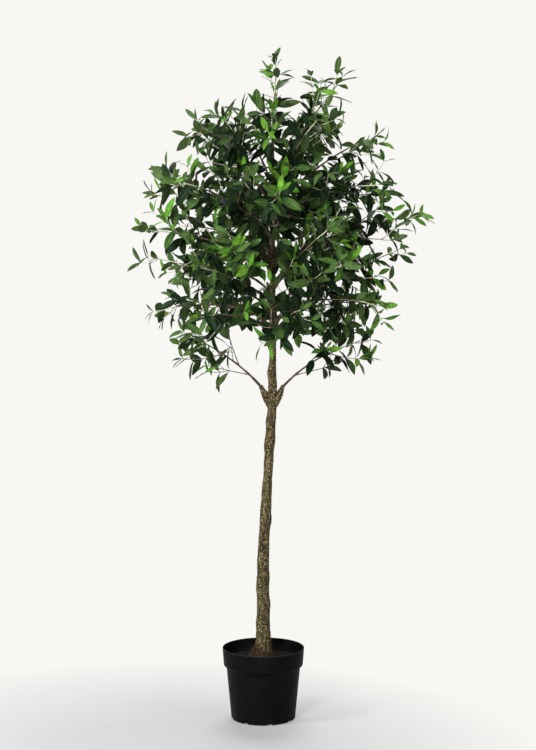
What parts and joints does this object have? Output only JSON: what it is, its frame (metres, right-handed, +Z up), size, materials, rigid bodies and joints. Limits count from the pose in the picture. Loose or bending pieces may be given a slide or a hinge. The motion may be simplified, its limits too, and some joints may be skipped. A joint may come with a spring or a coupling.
{
  "type": "artificial olive tree in a nursery pot",
  "caption": "Slim artificial olive standard: a bare, slightly leaning trunk, a loose rounded crown of leafy sprays, and a black tapering pot with a rim band.",
  "frame": {"origin": "centre of the pot's flat underside", "axes": "+Z up the trunk, +X to the side that the trunk leans to, which is the right in the picture, +Y away from the side that the picture shows"},
  "size_m": [0.828, 0.7559, 1.8003],
  "materials": {
    "pot": "satin black",
    "topping": "rough black",
    "bark": "rough moulded bark",
    "foliage": "satin green"
  },
  "bodies": {
    "root": {"bough_low_1": "bark", "bough_low_2": "bark", "bough_middle_1": "bark", "bough_middle_2": "bark", "bough_middle_3": "bark", "bough_middle_4": "bark", "bough_middle_5": "bark", "bough_middle_6": "bark", "bough_middle_7": "bark", "bough_skirt_1": "bark", "bough_skirt_2": "bark", "bough_skirt_3": "bark", "bough_skirt_4": "bark", "bough_skirt_5": "bark", "bough_skirt_6": "bark", "bough_skirt_7": "bark", "foliage_crest_1": "foliage", "foliage_leader": "foliage", "foliage_low_1": "foliage", "foliage_low_2": "foliage", "foliage_middle_1": "foliage", "foliage_middle_2": "foliage", "foliage_middle_3": "foliage", "foliage_middle_4": "foliage", "foliage_middle_5": "foliage", "foliage_middle_6": "foliage", "foliage_middle_7": "foliage", "foliage_shoulder_1": "foliage", "foliage_shoulder_2": "foliage", "foliage_shoulder_3": "foliage", "foliage_shoulder_4": "foliage", "foliage_shoulder_5": "foliage", "foliage_shoulder_6": "foliage", "foliage_shoulder_7": "foliage", "foliage_skirt_1": "foliage", "foliage_skirt_2": "foliage", "foliage_skirt_3": "foliage", "foliage_skirt_4": "foliage", "foliage_skirt_5": "foliage", "foliage_skirt_6": "foliage", "foliage_skirt_7": "foliage", "foliage_sprig_1": "foliage", "foliage_top_1": "foliage", "foliage_top_2": "foliage", "foliage_top_3": "foliage", "foliage_upper_1": "foliage", "foliage_upper_2": "foliage", "foliage_upper_3": "foliage", "foliage_upper_4": "foliage", "foliage_upper_5": "foliage", "foliage_waist_1": "foliage", "foliage_waist_2": "foliage", "foliage_waist_3": "foliage", "foliage_waist_4": "foliage", "foliage_waist_5": "foliage", "foliage_waist_6": "foliage", "pot": "pot", "pot_fill": "topping", "trunk": "bark"}
  },
  "joints": []
}
